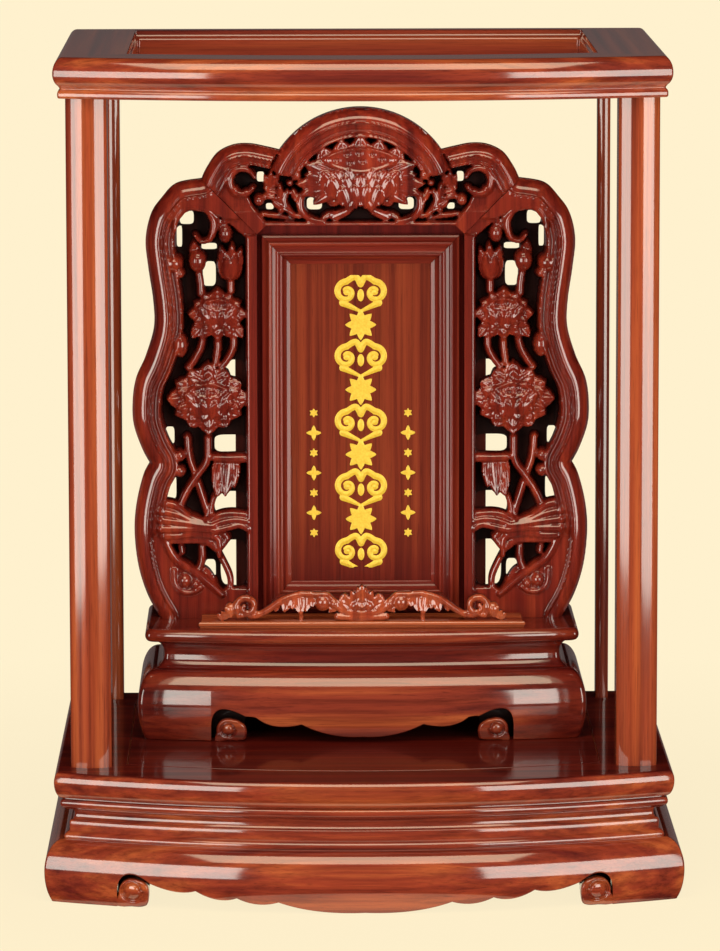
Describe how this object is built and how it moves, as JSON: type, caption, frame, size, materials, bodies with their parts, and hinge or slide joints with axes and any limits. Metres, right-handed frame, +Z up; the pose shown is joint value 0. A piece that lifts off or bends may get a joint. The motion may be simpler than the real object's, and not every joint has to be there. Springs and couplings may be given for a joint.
{
  "type": "ancestor shrine",
  "caption": "Open lacquered wood shrine with a moulded base, slim posts and a top frame, holding a carved ancestral tablet on its own pedestal.",
  "frame": {"origin": "middle of the footprint, on the floor", "axes": "+Z up, +X to the right of someone facing the shrine, -Y towards them"},
  "size_m": [0.4604, 0.3764, 0.606],
  "materials": {
    "red_lacquer": "glossy clear red-brown lacquer over fine straight-grained rosewood",
    "board_lacquer": "satin dark red lacquer, grain showing",
    "bare_wood": "planed, unfinished"
  },
  "bodies": {
    "shrine": {"base_apron_front": "red_lacquer", "base_apron_left": "red_lacquer", "base_apron_right": "red_lacquer", "base_apron_rear": "red_lacquer", "base_block_front_left": "bare_wood", "base_block_front_right": "bare_wood", "base_block_rear_left": "bare_wood", "base_block_rear_right": "bare_wood", "base_waist_front": "red_lacquer", "base_waist_left": "red_lacquer", "base_waist_right": "red_lacquer", "base_waist_rear": "red_lacquer", "base_board": "red_lacquer", "post_front_left": "red_lacquer", "post_front_right": "red_lacquer", "post_rear_left": "red_lacquer", "post_rear_right": "red_lacquer", "top_rail_front": "red_lacquer", "top_rail_left": "red_lacquer", "top_rail_right": "red_lacquer", "top_rail_rear": "red_lacquer"},
    "tablet": {"pedestal_apron_front": "red_lacquer", "pedestal_apron_left": "red_lacquer", "pedestal_apron_right": "red_lacquer", "pedestal_apron_rear": "red_lacquer", "pedestal_block_front_left": "bare_wood", "pedestal_block_front_right": "bare_wood", "pedestal_block_rear_left": "bare_wood", "pedestal_block_rear_right": "bare_wood", "pedestal_neck": "red_lacquer", "pedestal_board": "red_lacquer", "sill": "red_lacquer", "sill_ornament": "red_lacquer", "tablet_back": "board_lacquer", "inscription_frame_top": "red_lacquer", "inscription_frame_bottom": "red_lacquer", "inscription_frame_left": "red_lacquer", "inscription_frame_right": "red_lacquer", "inscription_board": "board_lacquer", "wing_left": "red_lacquer", "wing_right": "red_lacquer", "crest": "red_lacquer", "case_side_left": "board_lacquer", "case_side_right": "board_lacquer", "case_top": "board_lacquer", "name_slip_1": "bare_wood", "name_slip_2": "bare_wood", "name_slip_3": "bare_wood", "name_slip_4": "bare_wood"},
    "lid": {"case_lid": "board_lacquer"}
  },
  "joints": [
    {"name": "tablet_slide", "type": "slide", "parent": "shrine", "child": "tablet", "axis": [0, -1, 0], "range_m": [0, 0.12]},
    {"name": "lid_slide", "type": "slide", "parent": "tablet", "child": "lid", "axis": [0, 0, 1], "range_m": [0, 0.24]}
  ]
}
